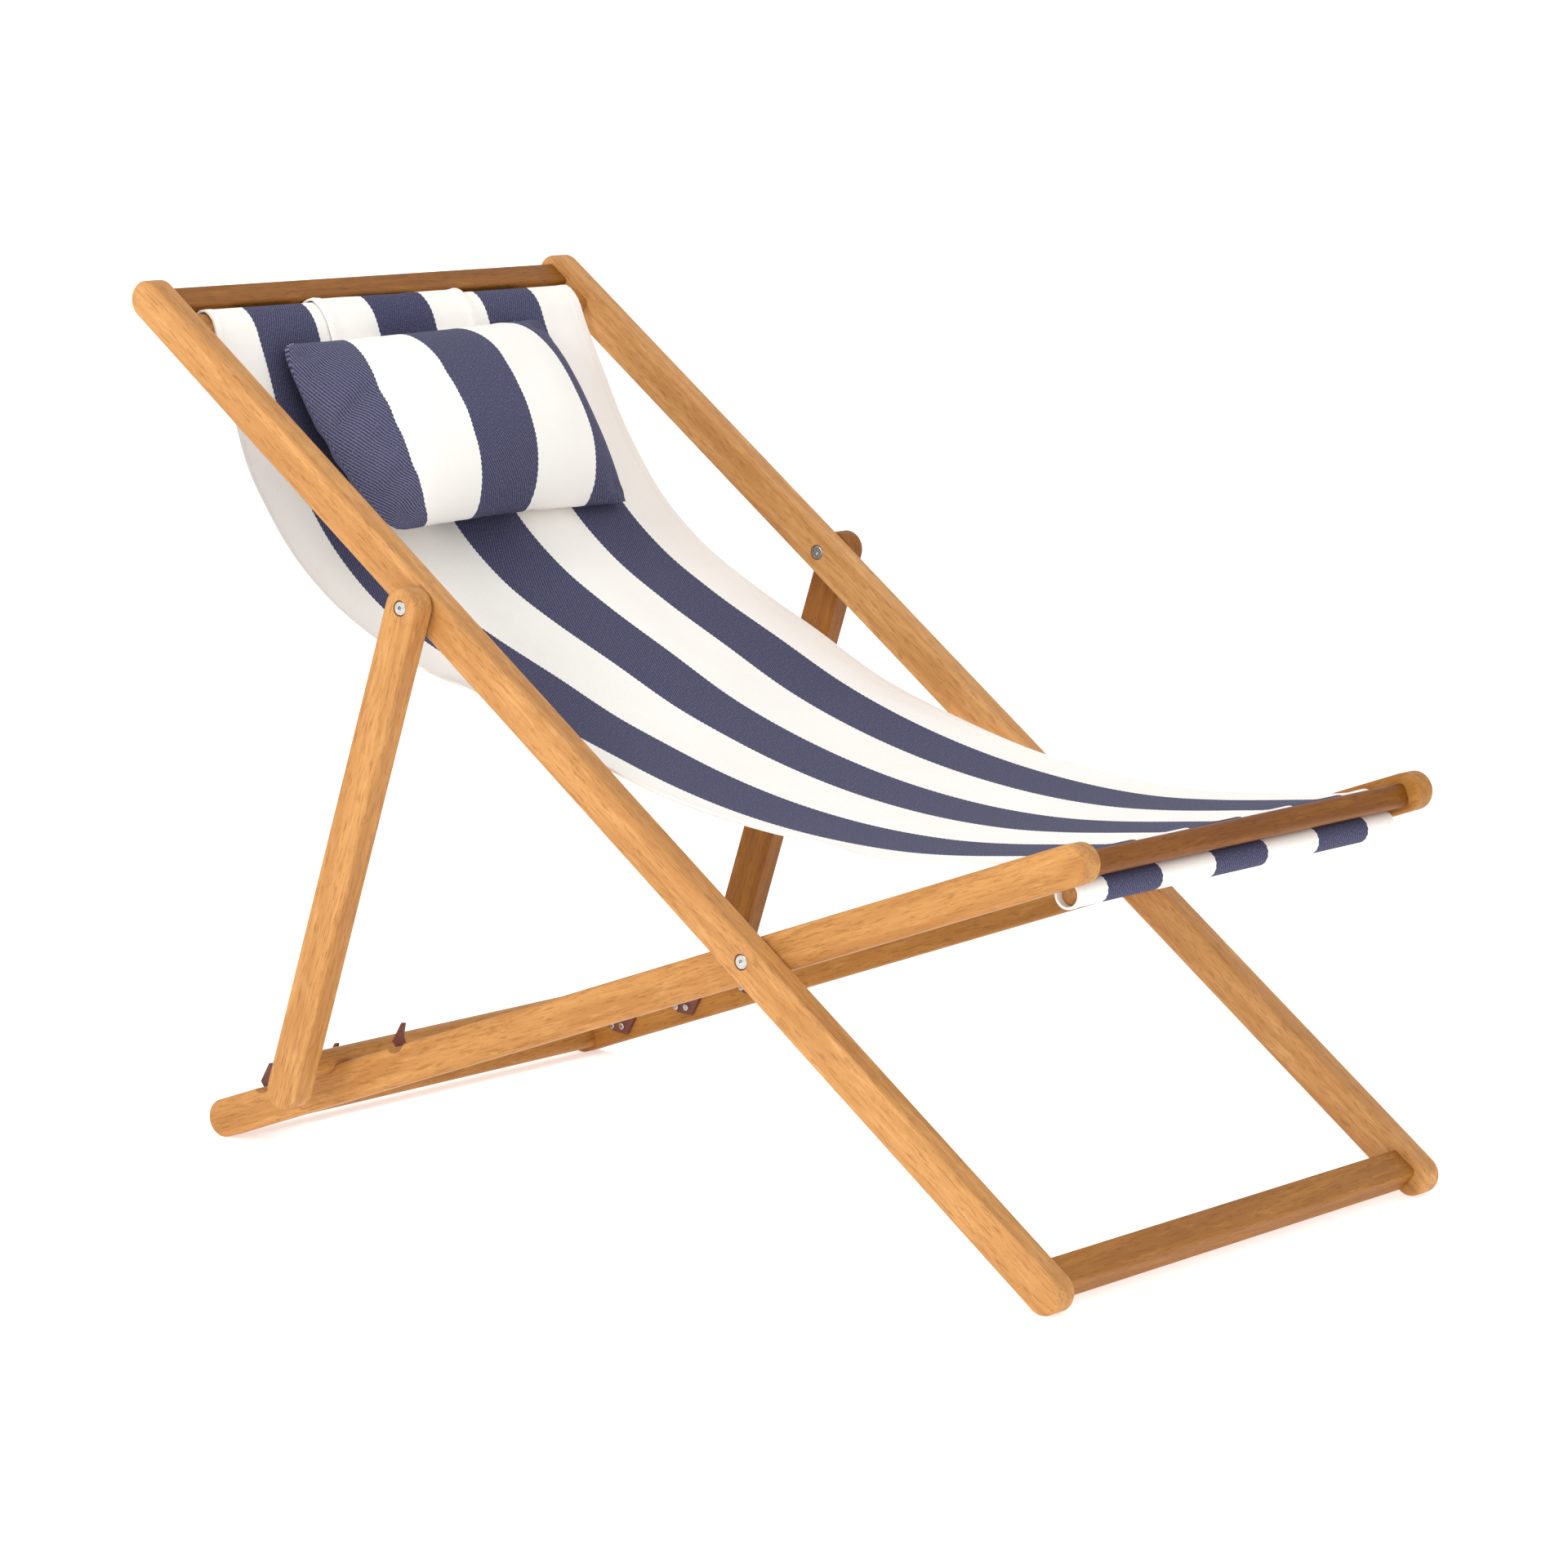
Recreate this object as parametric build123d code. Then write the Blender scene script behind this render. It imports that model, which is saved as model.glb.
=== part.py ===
"""Folding deck chair: three hinged teak frames, a striped canvas sling and a head pillow.

Row frame: +Z up, the foot end towards -Y, the head end towards +Y, X across the seat.
The origin is on the floor, at the centre of the chair's footprint box.
Each frame has its own plane: local X across, local Y along its side members, local Z out
of its face. "s" is a distance along the members and "n" a distance out of their mid-plane.
"""
import os
from math import asin, cos, degrees, hypot, radians, sin, sqrt

from build123d import *

# ---- driving dimensions (mm) ------------------------------------------------------------
MEMBER_T = 25.0  # thickness of every side member, across the chair
MEMBER_D = 35.0  # depth of every side member
ROUND_R = MEMBER_D / 2  # full-round ends
EDGE_R = 3.5  # softened long edges
OUTER_W = 594.0  # across the back frame's legs
SEAT_GAP = 2.3  # back leg to seat rail, each side
PROP_GAP = 1.5  # prop leg to back leg, each side

BACK_TILT = 36.45  # back legs above the floor, degrees
BACK_LENGTH = 1259.0  # between the centres of the rounded ends
SEAT_LENGTH = 998.5
SEAT_PIVOT_BACK = 393.3  # seat pivot, along the back legs from their foot centre
SEAT_PIVOT_RAIL = 665.8  # the same pivot, along the seat rails
PROP_PIVOT_BACK = 844.4  # prop pivot, along the back legs

BAR_R = 11.0  # prop bar
NOTCH_R = 11.3
NOTCH_N = 22.5  # height of a seated bar's axis above the rails' mid-plane
NOTCH_S = (60.0, 146.0, 232.0)  # the three reclining places along the rails
REST_NOTCH = 1
LIP_R = 2.5  # rounding of each notch's two lips
PROP_TAIL = 20.0  # the prop legs' rounded end centre, beyond the bar

DOWEL_R = 10.0  # sling dowels
DOWEL_LENGTH = 478.0
TENON = (14.0, 12.0)  # stub tenon: height and length
TENON_T = 10.0

PIVOT_R = 5.0  # barrel of a pivot's sleeve nut
PIVOT_CLEAR = 0.05
BOLT_R = 3.0
HEAD_R = 6.5
HEAD_T = 3.5
COUNTERBORE_R = 7.2
COUNTERBORE_DEPTH = 4.0
SOCKET_FLATS = 4.0

HOOK_T = 3.5
SCREW_R = 1.6
SCREW_HEAD_R = 3.3
SCREW_LENGTH = 14.0
SCREW_PLACES = ((-14.5, 0.3), (-2.5, -3.2))

FABRIC_T = 1.6  # the sling's canvas, with its folds
SLING_W = 484.0  # its narrowest width, between the seat rails
PILLOW_SIZE = (372.0, 196.0, 62.0)
PILLOW_S = 1087.0
PILLOW_N = 2.0
PILLOW_TILT = 20.5
FLAP_W = 200.0
FLAP_T = 1.2

# ---- places worked out from them --------------------------------------------------------
BACK_FOOT_Y = -BACK_LENGTH * cos(radians(BACK_TILT)) / 2
SEAT_PIVOT_Y = BACK_FOOT_Y + SEAT_PIVOT_BACK * cos(radians(BACK_TILT))
SEAT_PIVOT_RISE = SEAT_PIVOT_BACK * sin(radians(BACK_TILT))
SEAT_TILT = degrees(asin(SEAT_PIVOT_RISE / SEAT_PIVOT_RAIL))
SEAT_FOOT_Y = SEAT_PIVOT_Y + SEAT_PIVOT_RAIL * cos(radians(SEAT_TILT))
OUTER_X = OUTER_W / 2 - MEMBER_T / 2
SEAT_X = OUTER_X - MEMBER_T - SEAT_GAP
PROP_X = OUTER_X + MEMBER_T + PROP_GAP
BACK_INSIDE = OUTER_W - 2 * MEMBER_T
SEAT_INSIDE = 2 * SEAT_X - MEMBER_T

SIDES = (("left", 1), ("right", -1))


def frame_plane(foot_y, tilt, towards_head):
    """Plane of a frame standing on its foot centre, its local Y running up the members."""
    lean = tilt if towards_head else 180 - tilt
    along = (0, cos(radians(lean)), sin(radians(lean)))
    out = (0, -along[2], along[1]) if towards_head else (0, along[2], -along[1])
    across = (1, 0, 0) if towards_head else (-1, 0, 0)
    return Plane(origin=(0, foot_y, ROUND_R), x_dir=across, z_dir=out)


BACK = frame_plane(BACK_FOOT_Y, BACK_TILT, True)
SEAT = frame_plane(SEAT_FOOT_Y, SEAT_TILT, False)
SEAT_FLIP = -1  # the seat frame's local X runs the other way
PROP_PIVOT = BACK.from_local_coords(Vector(0, PROP_PIVOT_BACK, 0))
BAR_PLACE = SEAT.from_local_coords(Vector(0, NOTCH_S[REST_NOTCH], NOTCH_N))
PROP_REACH = (BAR_PLACE - PROP_PIVOT).length
PROP_DIR = (BAR_PLACE - PROP_PIVOT).normalized()
PROP = Plane(origin=PROP_PIVOT, x_dir=(1, 0, 0), z_dir=(0, -PROP_DIR.Z, PROP_DIR.Y))


# ---- small builders, all in a frame's own plane -----------------------------------------
def softened(solid, radius=EDGE_R):
    """Round the outline edges of a member's two side faces."""
    faces = solid.faces().sort_by(Axis.X)
    return fillet(faces[0].edges() + faces[-1].edges(), radius)


def across(radius, x_from, x_to, s, n=0.0):
    """A cylinder that runs across the chair."""
    low, high = min(x_from, x_to), max(x_from, x_to)
    return Pos(low, s, n) * Rot(0, 90, 0) * Cylinder(
        radius, high - low, align=(Align.CENTER, Align.CENTER, Align.MIN)
    )


def member(x_mid, s_from, s_to):
    """A side member with full-round ends, centred on x_mid."""
    side = SlotCenterToCenter(s_to - s_from, MEMBER_D)
    bar = extrude(Plane.YZ * side, MEMBER_T / 2, both=True)
    return Pos(x_mid, (s_from + s_to) / 2, 0) * softened(bar)


def cross_rail(inside, s_mid, n_mid, along, deep, radius):
    """A rail between two members, with a stub tenon at each end."""
    rail = Box(inside, along, deep)
    rail = fillet(rail.edges().filter_by(Axis.X), radius)
    tenons = Box(inside + 2 * TENON[1], TENON_T, TENON[0])
    return Pos(0, s_mid, n_mid) * (rail + tenons)


def mortises(inside, s_mid, n_mid):
    return Pos(0, s_mid, n_mid) * Box(inside + 2 * TENON[1], TENON_T, TENON[0])


def dowel(length, radius, s, n):
    rod = across(radius, -length / 2, length / 2, s, n)
    ends = rod.faces().filter_by(GeomType.PLANE)
    return chamfer([edge for face in ends for edge in face.edges()], 1.0)


def hexagon_prism(x_from, x_to, s, n=0.0):
    socket = RegularPolygon(SOCKET_FLATS / sqrt(3), 6)
    socket = extrude(Plane.YZ * socket, abs(x_to - x_from) / 2, both=True)
    return Pos((x_from + x_to) / 2, s, n) * socket


def pivot_parts(sign, s, outer_face, inner_face, gap_from, gap_to):
    """Bolt, sleeve nut and washer of one pivot; faces are distances from the centre plane."""
    seat = outer_face - COUNTERBORE_DEPTH
    head_top = seat + HEAD_T
    nut_face = inner_face + COUNTERBORE_DEPTH - 0.3
    bolt = across(HEAD_R, sign * seat, sign * head_top, s)
    rim = bolt.faces().sort_by(Axis.X)[-1 if sign > 0 else 0]
    bolt = fillet(rim.edges(), 1.2)
    bolt += across(BOLT_R, sign * (nut_face + 1.0), sign * seat, s)
    bolt -= hexagon_prism(sign * (head_top - 2.2), sign * (head_top + 1), s)
    nut = across(HEAD_R, sign * (nut_face - HEAD_T), sign * nut_face, s)
    rim = nut.faces().sort_by(Axis.X)[0 if sign > 0 else -1]
    nut = fillet(rim.edges(), 1.2)
    nut += across(PIVOT_R, sign * nut_face, sign * (seat - 0.5), s)
    nut -= across(BOLT_R, sign * (nut_face + 0.5), sign * seat, s)
    nut -= hexagon_prism(sign * (nut_face - HEAD_T - 1), sign * (nut_face - HEAD_T + 2.2), s)
    washer = across(9.0, sign * (gap_from + 0.3), sign * (gap_to - 0.3), s)
    washer -= across(PIVOT_R + PIVOT_CLEAR, sign * gap_from, sign * gap_to, s)
    return bolt, nut, washer


def pivot_cut(sign, s, outer_face, inner_face):
    """The hole through both members of a pivot, with a counterbore at each end."""
    reach = PIVOT_R + PIVOT_CLEAR
    hole = across(reach, sign * (inner_face - 1), sign * (outer_face + 1), s)
    outer_seat = sign * (outer_face - COUNTERBORE_DEPTH)
    inner_seat = sign * (inner_face + COUNTERBORE_DEPTH)
    hole += across(COUNTERBORE_R, outer_seat, sign * (outer_face + 1), s)
    hole += across(COUNTERBORE_R, sign * (inner_face - 1), inner_seat, s)
    return hole


# ---- back frame -------------------------------------------------------------------------
HEAD_RAIL = (1253.0, -5.0, 26.0, 25.0)  # s, n, width along the legs, depth
HEAD_SLING_RAIL = (1218.0, -4.5, 25.0, 25.0)
FRONT_STRETCHER = (12.5, -3.0, 30.0, 25.0)
HEAD_DOWEL = (1235.2, -28.2)

# each pivot's outer face, inner face, and the two faces of the gap that its washer fills
SEAT_PIVOT_FACES = (OUTER_W / 2, SEAT_INSIDE / 2, SEAT_X + MEMBER_T / 2, BACK_INSIDE / 2)
PROP_PIVOT_FACES = (PROP_X + MEMBER_T / 2, BACK_INSIDE / 2, OUTER_W / 2, PROP_X - MEMBER_T / 2)


def back_frame():
    parts = {}
    rails = (
        ("head_rail", HEAD_RAIL, 3.0),
        ("head_sling_rail", HEAD_SLING_RAIL, 6.0),
        ("front_stretcher", FRONT_STRETCHER, 5.0),
    )
    for side, sign in SIDES:
        leg = member(sign * OUTER_X, 0, BACK_LENGTH)
        for _, (s, n, _, _), _ in rails:
            leg -= mortises(BACK_INSIDE, s, n)
        leg -= pivot_cut(sign, SEAT_PIVOT_BACK, *SEAT_PIVOT_FACES[:2])
        leg -= pivot_cut(sign, PROP_PIVOT_BACK, *PROP_PIVOT_FACES[:2])
        parts[f"back_leg_{side}"] = leg
        seat_set = pivot_parts(sign, SEAT_PIVOT_BACK, *SEAT_PIVOT_FACES)
        prop_set = pivot_parts(sign, PROP_PIVOT_BACK, *PROP_PIVOT_FACES)
        for place, pieces in (("seat", seat_set), ("prop", prop_set)):
            for name, piece in zip(("bolt", "nut", "washer"), pieces):
                parts[f"{place}_pivot_{name}_{side}"] = piece
    for name, (s, n, along, deep), radius in rails:
        parts[name] = cross_rail(BACK_INSIDE, s, n, along, deep, radius)
    parts["head_sling_dowel"] = dowel(DOWEL_LENGTH, DOWEL_R, *HEAD_DOWEL)
    return {name: BACK * piece for name, piece in parts.items()}


# ---- seat frame -------------------------------------------------------------------------
SEAT_FRONT_RAIL = (990.5, -1.5, 25.0, 21.0)
SEAT_SLING_RAIL = (957.0, 0.3, 25.0, 21.0)
REAR_STRETCHER = (4.0, -1.5, 25.0, 25.0)
FRONT_DOWEL = (973.6, -21.3)


def notch_cut(s):
    """A rounded notch through a rail's upper edge, its two lips eased."""
    drop = NOTCH_N - ROUND_R + LIP_R
    lip = Vector(sqrt((NOTCH_R + LIP_R) ** 2 - drop**2), ROUND_R - LIP_R)
    inward = (Vector(0, NOTCH_N) - lip).normalized()
    touch = lip + inward * LIP_R
    crown = lip + (inward + Vector(0, 1)).normalized() * LIP_R
    outline = ThreePointArc((-lip.X, ROUND_R), (-crown.X, crown.Y), (-touch.X, touch.Y))
    outline += ThreePointArc((-touch.X, touch.Y), (0, NOTCH_N - NOTCH_R), (touch.X, touch.Y))
    outline += ThreePointArc((touch.X, touch.Y), (crown.X, crown.Y), (lip.X, ROUND_R))
    outline += Polyline(
        (lip.X, ROUND_R), (lip.X, ROUND_R + 1), (-lip.X, ROUND_R + 1), (-lip.X, ROUND_R)
    )
    return Pos(0, s, 0) * extrude(Plane.YZ * make_face(outline), MEMBER_T, both=True)


def hook_outline():
    """A retaining hook's outline about a notch: X along the rail to the foot, Y out of it."""
    seat_r = BAR_R + 0.7
    tip_angle, heel_angle = radians(140), radians(212)
    tip = (seat_r * cos(tip_angle), NOTCH_N + seat_r * sin(tip_angle))
    middle = (-seat_r, NOTCH_N)
    heel = (seat_r * cos(heel_angle), NOTCH_N + seat_r * sin(heel_angle))
    nose = (-5.0, 36.5)
    outline = ThreePointArc(tip, middle, heel)
    outline += Polyline(
        heel, (-7.5, 9.5), (17.0, 9.0), (17.0, 2.0), (1.0, -12.0), (-14.4, -5.3),
        (-19.0, 0.7), (-21.9, 17.4), (-24.0, 24.0), (-8.0, 37.4), nose,
    )
    outline += Line(nose, tip)
    return make_face(outline)


def seat_frame():
    parts = {}
    rails = (
        ("seat_front_rail", SEAT_FRONT_RAIL, 6.0),
        ("seat_sling_rail", SEAT_SLING_RAIL, 6.0),
        ("rear_stretcher", REAR_STRETCHER, 6.0),
    )
    screws = []
    for side, sign in SIDES:
        flip = sign * SEAT_FLIP
        x_mid = flip * SEAT_X
        inner_face = flip * (SEAT_X - MEMBER_T / 2)
        rail = member(x_mid, 0, SEAT_LENGTH)
        for _, (s, n, _, _), _ in rails:
            rail -= mortises(SEAT_INSIDE, s, n)
        rail -= pivot_cut(flip, SEAT_PIVOT_RAIL, *SEAT_PIVOT_FACES[:2])
        for index, notch_s in enumerate(NOTCH_S):
            rail -= Pos(x_mid, 0, 0) * notch_cut(notch_s)
            hook = extrude(Plane.YZ * hook_outline(), HOOK_T / 2, both=True)
            hook = Pos(inner_face - flip * HOOK_T / 2, notch_s, 0) * hook
            for ds, n in SCREW_PLACES:
                s = notch_s + ds
                head_in = inner_face - flip * HOOK_T
                shank = across(SCREW_R, head_in, head_in + flip * SCREW_LENGTH, s, n)
                head = across(SCREW_HEAD_R, head_in - flip * 1.9, head_in, s, n)
                rim = head.faces().sort_by(Axis.X)[-1 if flip < 0 else 0]
                screws.append(fillet(rim.edges(), 1.1) + shank)
                rail -= shank
                hook -= shank
            parts[f"retaining_hook_{index + 1}_{side}"] = hook
        parts[f"seat_rail_{side}"] = rail
    for name, (s, n, along, deep), radius in rails:
        parts[name] = cross_rail(SEAT_INSIDE, s, n, along, deep, radius)
    parts["front_sling_dowel"] = dowel(DOWEL_LENGTH, DOWEL_R, *FRONT_DOWEL)
    parts["hook_screws"] = Compound(children=screws)
    return {name: SEAT * piece for name, piece in parts.items()}


# ---- prop frame -------------------------------------------------------------------------
def prop_frame():
    parts = {}
    inside = 2 * PROP_X - MEMBER_T
    bar = dowel(inside + 2 * TENON[1], BAR_R, PROP_REACH, 0)
    for side, sign in SIDES:
        leg = member(sign * PROP_X, 0, PROP_REACH + PROP_TAIL)
        leg -= pivot_cut(sign, 0, *PROP_PIVOT_FACES[:2])
        leg -= across(BAR_R, -inside / 2 - TENON[1], inside / 2 + TENON[1], PROP_REACH, 0)
        parts[f"prop_leg_{side}"] = leg
    parts["prop_bar"] = bar
    return {name: PROP * piece for name, piece in parts.items()}


# ---- sling and pillow -------------------------------------------------------------------
def row_yz(plane, s, n):
    point = plane.from_local_coords(Vector(0, s, n))
    return (point.Y, point.Z)


# the canvas's middle line: s, n behind and over the head sling rail
HEAD_RUN = (
    (1234.8, -17.0), (1234.8, -8.0), (1235.0, 2.0), (1229.0, 10.2), (1216.0, 10.6), (1203.5, 6.0)
)
# then Y, Z where it hangs free
HANG = (
    (452, 722), (428, 675), (398, 620), (354, 562), (300, 517), (240, 483), (165, 447),
    (85, 409), (0, 380), (-90, 359), (-180, 347), (-265, 343.5), (-340, 348),
)
# then s, n over the seat sling rail and down to its dowel
FRONT_RUN = (
    (925.0, 17.2), (940.0, 13.9), (950.0, 12.4), (961.0, 12.3), (966.6, 11.4), (970.8, 8.0),
    (973.0, 1.0), (973.6, -10.0),
)
FLAP_RUN = (
    (1237.9, -12.5), (1237.9, -5.0), (1237.9, 4.0), (1231.4, 14.0), (1216.0, 14.2), (1203.5, 10.2),
    (1191.5, 3.6),
)


def sling_path():
    """The canvas's middle line, from behind the head rail to below the front rail."""
    head = [row_yz(BACK, *place) for place in HEAD_RUN]
    front = [row_yz(SEAT, *place) for place in FRONT_RUN]
    return head + list(HANG) + front


def offset_path(points, distance):
    """The same path moved sideways by a distance, point by point."""
    moved = []
    for index, (y, z) in enumerate(points):
        before = points[max(index - 1, 0)]
        after = points[min(index + 1, len(points) - 1)]
        dy, dz = after[0] - before[0], after[1] - before[1]
        length = hypot(dy, dz)
        moved.append((y - distance * dz / length, z + distance * dy / length))
    return moved


def strip_face(path, thickness):
    """The face between the two lines half a thickness either side of a path."""
    upper = offset_path(path, thickness / 2)
    lower = offset_path(path, -thickness / 2)
    outline = Spline(*upper) + Line(upper[-1], lower[-1])
    outline += Spline(*lower[::-1]) + Line(lower[0], upper[0])
    return make_face(outline)


def sleeve(centre):
    ring = Circle(DOWEL_R + 0.4 + FABRIC_T) - Circle(DOWEL_R + 0.4)
    return Pos(centre[0], centre[1]) * ring


def sling():
    """One closed solid of the hanging canvas, with a sewn sleeve round each dowel."""
    strip = strip_face(sling_path(), FABRIC_T)
    head, front = row_yz(BACK, *HEAD_DOWEL), row_yz(SEAT, *FRONT_DOWEL)
    for centre in (head, front):
        strip += sleeve(centre)
    for centre in (head, front):
        strip -= Pos(*centre) * Circle(DOWEL_R + 0.4)
    return extrude(Plane.YZ * strip, SLING_W / 2, both=True)


def pillow_flap():
    """The pillow's fabric flap: over the head sling rail and into the gap behind it."""
    strip = strip_face([row_yz(BACK, *place) for place in FLAP_RUN], FLAP_T)
    return extrude(Plane.YZ * strip, FLAP_W / 2, both=True)


def pillow():
    width, height, thick = PILLOW_SIZE
    pad = Box(width, height, thick)
    pad = fillet(pad.edges().filter_by(Axis.Z), 24)
    faces = pad.faces().sort_by(Axis.Z)
    pad = fillet(faces[0].edges() + faces[-1].edges(), 26)
    return BACK * (Pos(0, PILLOW_S, PILLOW_N) * Rot(PILLOW_TILT, 0, 0) * pad)


# ---- write one STEP per node ------------------------------------------------------------
def main():
    os.makedirs("parts", exist_ok=True)
    nodes = {**back_frame(), **seat_frame(), **prop_frame()}
    nodes |= {"sling": sling(), "pillow": pillow(), "pillow_flap": pillow_flap()}
    for name, shape in nodes.items():
        export_step(shape, f"parts/{name}.step")
    box = Compound(children=list(nodes.values())).bounding_box()
    pivot = BACK.from_local_coords(Vector(0, SEAT_PIVOT_BACK, 0))
    print("box", [round(v, 2) for v in (*box.min, *box.max)])
    print("seat pivot", pivot, "prop pivot", PROP_PIVOT)


main()
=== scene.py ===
"""Folding deck chair in teak, with a striped canvas sling and a head pillow.

Row frame, metres: +Z up, the foot end towards -Y, the head end towards +Y, X across the seat.
Each wooden frame has its own plane: "s" runs along its side members from their foot and "n" out
of its face, both in millimetres, as the joinery is dimensioned.
"""
import math

import bpy
from mathutils import Matrix, Vector, noise


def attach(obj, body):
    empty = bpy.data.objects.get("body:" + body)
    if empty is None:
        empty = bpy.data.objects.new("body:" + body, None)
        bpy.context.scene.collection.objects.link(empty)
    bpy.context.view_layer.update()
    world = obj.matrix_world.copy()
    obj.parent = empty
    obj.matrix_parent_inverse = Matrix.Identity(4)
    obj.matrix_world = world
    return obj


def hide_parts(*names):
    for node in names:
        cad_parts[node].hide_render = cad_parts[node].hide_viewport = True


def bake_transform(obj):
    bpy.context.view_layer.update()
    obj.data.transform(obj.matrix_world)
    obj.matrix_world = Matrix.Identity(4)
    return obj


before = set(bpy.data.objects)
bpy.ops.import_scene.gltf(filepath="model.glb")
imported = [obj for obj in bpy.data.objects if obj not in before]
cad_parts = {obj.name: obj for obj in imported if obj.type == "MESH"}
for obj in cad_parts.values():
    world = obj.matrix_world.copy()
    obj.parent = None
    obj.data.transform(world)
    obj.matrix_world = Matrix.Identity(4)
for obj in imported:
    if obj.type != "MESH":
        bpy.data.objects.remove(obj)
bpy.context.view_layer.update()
scene = bpy.context.scene

# How each frame leans at rest, and the (y, z) of the centre of its rounded foot.
BACK_TILT = math.radians(36.45)
SEAT_TILT = math.radians(20.5459)
PROP_TILT = math.radians(-72.94)
BACK_FOOT = (-0.506355, 0.0175)
SEAT_FOOT = (0.433456, 0.0175)


def back_point(s, n):
    """(y, z) of a place on the back frame's plane."""
    s, n = s / 1000, n / 1000
    y = BACK_FOOT[0] + s * math.cos(BACK_TILT) - n * math.sin(BACK_TILT)
    return (y, BACK_FOOT[1] + s * math.sin(BACK_TILT) + n * math.cos(BACK_TILT))


def seat_point(s, n):
    """(y, z) of a place on the seat frame's plane."""
    s, n = s / 1000, n / 1000
    y = SEAT_FOOT[0] - s * math.cos(SEAT_TILT) + n * math.sin(SEAT_TILT)
    return (y, SEAT_FOOT[1] + s * math.sin(SEAT_TILT) + n * math.cos(SEAT_TILT))


# ---- camera, light and floor --------------------------------------------------------------
CAMERA_PLACE = (-3.9265, -3.0337, 1.1472)
CAMERA_AZIMUTH, CAMERA_ELEVATION, CAMERA_ROLL = -52.34, 9.16, 1.10
CAMERA_LENS = 128.18
FLOOR_HALF = 40


def make_camera():
    azimuth, elevation = math.radians(CAMERA_AZIMUTH), math.radians(CAMERA_ELEVATION)
    roll = math.radians(CAMERA_ROLL)
    back = Vector((
        math.sin(azimuth) * math.cos(elevation),
        -math.cos(azimuth) * math.cos(elevation),
        math.sin(elevation),
    ))
    level = (-back).cross(Vector((0, 0, 1))).normalized()
    upright = level.cross(-back)
    right = level * math.cos(roll) + upright * math.sin(roll)
    up = upright * math.cos(roll) - level * math.sin(roll)
    data = bpy.data.cameras.new("camera")
    data.lens = CAMERA_LENS
    data.sensor_width = 36
    data.clip_start, data.clip_end = 0.1, 60
    camera = bpy.data.objects.new("camera", data)
    camera.matrix_world = Matrix((
        (right.x, up.x, back.x, CAMERA_PLACE[0]),
        (right.y, up.y, back.y, CAMERA_PLACE[1]),
        (right.z, up.z, back.z, CAMERA_PLACE[2]),
        (0, 0, 0, 1),
    ))
    scene.collection.objects.link(camera)
    scene.camera = camera


def area_light(name, place, target, size, power):
    data = bpy.data.lights.new(name, "AREA")
    data.shape = "DISK"
    data.size = size
    data.energy = power
    light = bpy.data.objects.new(name, data)
    light.location = place
    light.rotation_euler = (Vector(target) - Vector(place)).to_track_quat("-Z", "Y").to_euler()
    scene.collection.objects.link(light)


def make_studio():
    """White surroundings, a little brighter behind the chair, with a soft key light and a soft fill."""
    world = bpy.data.worlds.new("studio")
    world.use_nodes = True
    nodes, links = world.node_tree.nodes, world.node_tree.links
    direction = nodes.new("ShaderNodeTexCoord").outputs["Generated"]
    side = nodes.new("ShaderNodeVectorMath")
    side.operation = "DOT_PRODUCT"
    links.new(direction, side.inputs[0])
    behind_chair = (0.45, 0.85, 0.25)
    side.inputs[1].default_value = behind_chair
    strength = nodes.new("ShaderNodeMapRange")
    links.new(side.outputs["Value"], strength.inputs["Value"])
    for name, value in (("From Min", -0.6), ("From Max", 0.55), ("To Min", 0.94), ("To Max", 1.05)):
        strength.inputs[name].default_value = value
    links.new(strength.outputs[0], nodes["Background"].inputs["Strength"])
    nodes["Background"].inputs["Color"].default_value = (1, 1, 1, 1)
    scene.world = world
    scene.view_settings.view_transform = "Standard"
    chair_middle = (0, 0, 0.4)
    area_light("key", (-5.4, 0.5, 3.3), chair_middle, size=1.6, power=115)
    area_light("fill", (-3.0, -3.8, 1.6), chair_middle, size=1.6, power=26)
    mesh = bpy.data.meshes.new("floor")
    corners = [(-1, -1), (1, -1), (1, 1), (-1, 1)]
    mesh.from_pydata([(x * FLOOR_HALF, y * FLOOR_HALF, 0) for x, y in corners], [], [(0, 1, 2, 3)])
    floor = bpy.data.objects.new("floor", mesh)
    material = bpy.data.materials.new("floor")
    material.use_nodes = True
    shader = material.node_tree.nodes["Principled BSDF"]
    shader.inputs["Base Color"].default_value = (0.92, 0.92, 0.92, 1)
    shader.inputs["Roughness"].default_value = 0.85
    shader.inputs["Emission Color"].default_value = (1, 1, 1, 1)
    shader.inputs["Emission Strength"].default_value = 0.5
    mesh.materials.append(material)
    scene.collection.objects.link(floor)


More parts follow.
